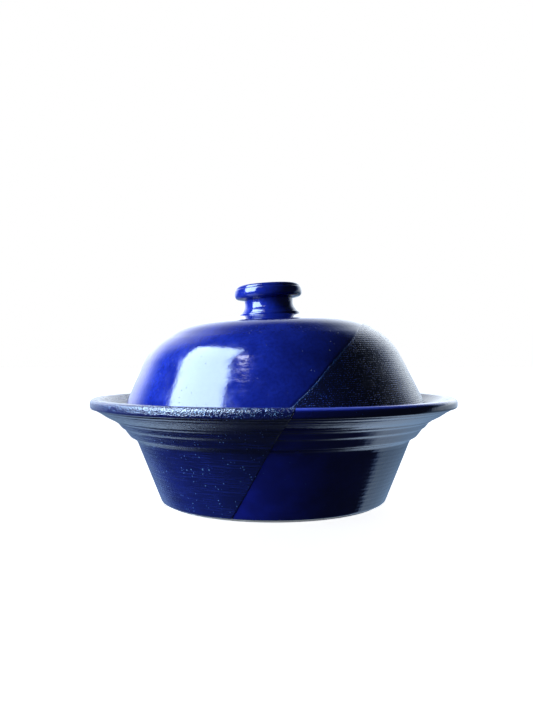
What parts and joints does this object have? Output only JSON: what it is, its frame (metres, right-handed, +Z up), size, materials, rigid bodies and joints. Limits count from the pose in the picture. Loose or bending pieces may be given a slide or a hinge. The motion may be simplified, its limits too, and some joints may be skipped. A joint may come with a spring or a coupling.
{
  "type": "lidded bowl",
  "caption": "Round stoneware casserole bowl with a wide flared rim and a loose domed lid with a turned knob.",
  "frame": {"origin": "centre of the foot's resting face, at the bottom of the part", "axes": "+Z up along the bowl's turning axis; -Y towards the viewer; +X to the viewer's right, towards the darker dips"},
  "size_m": [0.265, 0.2652, 0.16],
  "materials": {
    "bare_clay": "matt",
    "liner_glaze": "gloss",
    "navy_gloss_glaze": "gloss",
    "cobalt_satin_glaze": "satin",
    "cobalt_gloss_glaze": "gloss",
    "navy_matt_glaze": "matt"
  },
  "bodies": {
    "bowl": {"bowl_body": "bare_clay", "bowl_liner_glaze": "liner_glaze", "bowl_gloss_glaze": "navy_gloss_glaze", "bowl_satin_glaze": "cobalt_satin_glaze"},
    "lid": {"lid_dome": "bare_clay", "lid_knob": "bare_clay", "lid_liner_glaze": "liner_glaze", "lid_gloss_glaze": "cobalt_gloss_glaze", "lid_matt_glaze": "navy_matt_glaze"}
  },
  "joints": [
    {"name": "lid_lift", "type": "slide", "parent": "bowl", "child": "lid", "axis": [0, 0, 1], "range_m": [0, 0.18]}
  ]
}
